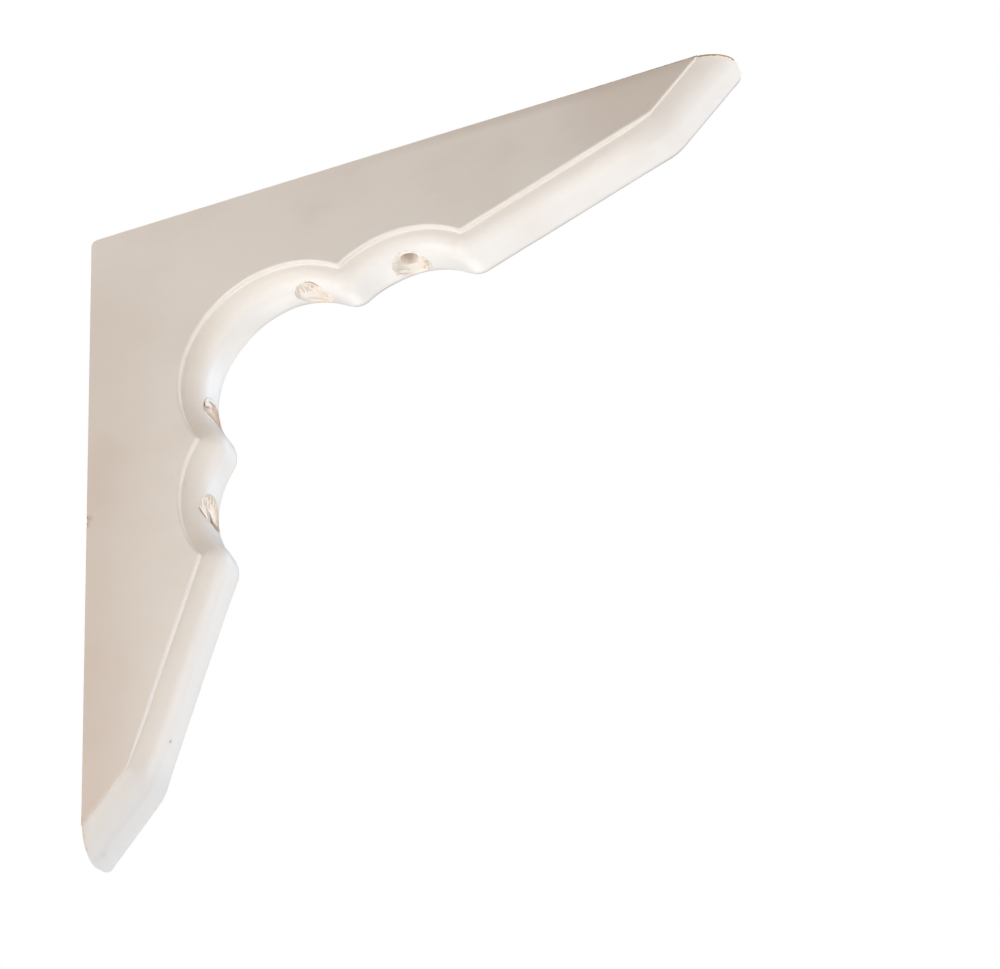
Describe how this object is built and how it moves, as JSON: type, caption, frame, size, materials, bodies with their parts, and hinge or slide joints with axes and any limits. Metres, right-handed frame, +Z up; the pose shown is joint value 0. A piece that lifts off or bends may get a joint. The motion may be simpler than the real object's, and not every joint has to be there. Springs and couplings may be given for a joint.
{
  "type": "wooden shelf bracket",
  "caption": "Painted wooden shelf bracket with arms at a right angle, a scooped and tapered inner edge with a stepped round, and counterbored screw holes.",
  "frame": {"origin": "on the wall face, at the middle of the board's thickness, halfway between the two wall screws", "axes": "+X out from the wall along the shelf arm, +Z up to the shelf face, Y across the board's thickness with the pictured face towards -Y"},
  "size_m": [0.2, 0.02, 0.2],
  "materials": {
    "painted_wood": "satin white paint, slightly warm, with bare wood inside the screw holes"
  },
  "bodies": {
    "root": {"bracket": "painted_wood"}
  },
  "joints": []
}
